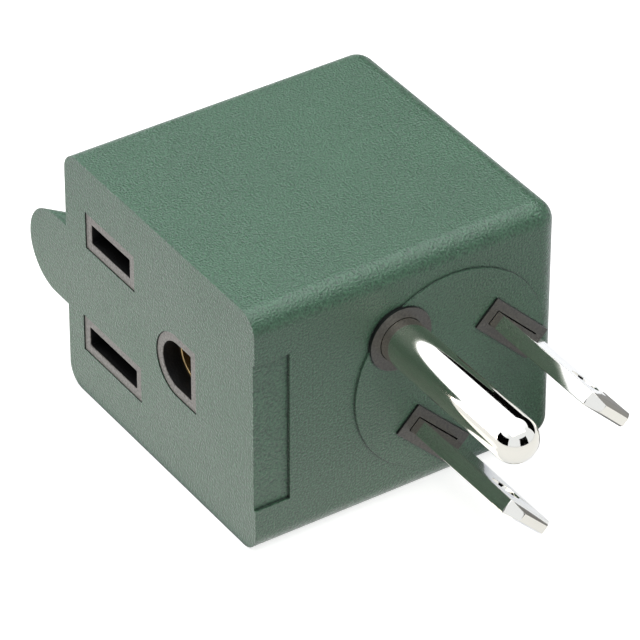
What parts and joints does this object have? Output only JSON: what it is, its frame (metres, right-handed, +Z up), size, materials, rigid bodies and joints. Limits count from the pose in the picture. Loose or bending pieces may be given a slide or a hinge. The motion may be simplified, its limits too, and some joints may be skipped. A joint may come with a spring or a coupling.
{
  "type": "right angle plug adapter",
  "caption": "Right angle power adapter: a moulded block with a grounded plug on one side, turned at an angle, and a matching grounded socket on the side next to it, with a finger tab.",
  "frame": {"origin": "halfway between the two plug blades, on the face that seats against the wall outlet", "axes": "+Z up with the part on its base, the plug's pins point along -Y, the socket opens towards -X"},
  "size_m": [0.0348, 0.0623, 0.0276],
  "materials": {
    "green_moulding": "fine spark-eroded grain",
    "core_plastic": "plain moulded, satin",
    "nickel_plate": "bright nickel plate on brass",
    "spring_brass": "rolled strip"
  },
  "bodies": {
    "root": {"overmould": "green_moulding", "socket_cover": "core_plastic", "contact_housing": "core_plastic", "pin_carrier": "core_plastic", "rear_cover": "core_plastic", "hot_blade": "nickel_plate", "neutral_blade": "nickel_plate", "ground_pin": "nickel_plate", "hot_contact": "spring_brass", "neutral_contact": "spring_brass", "ground_contact": "spring_brass"}
  },
  "joints": []
}
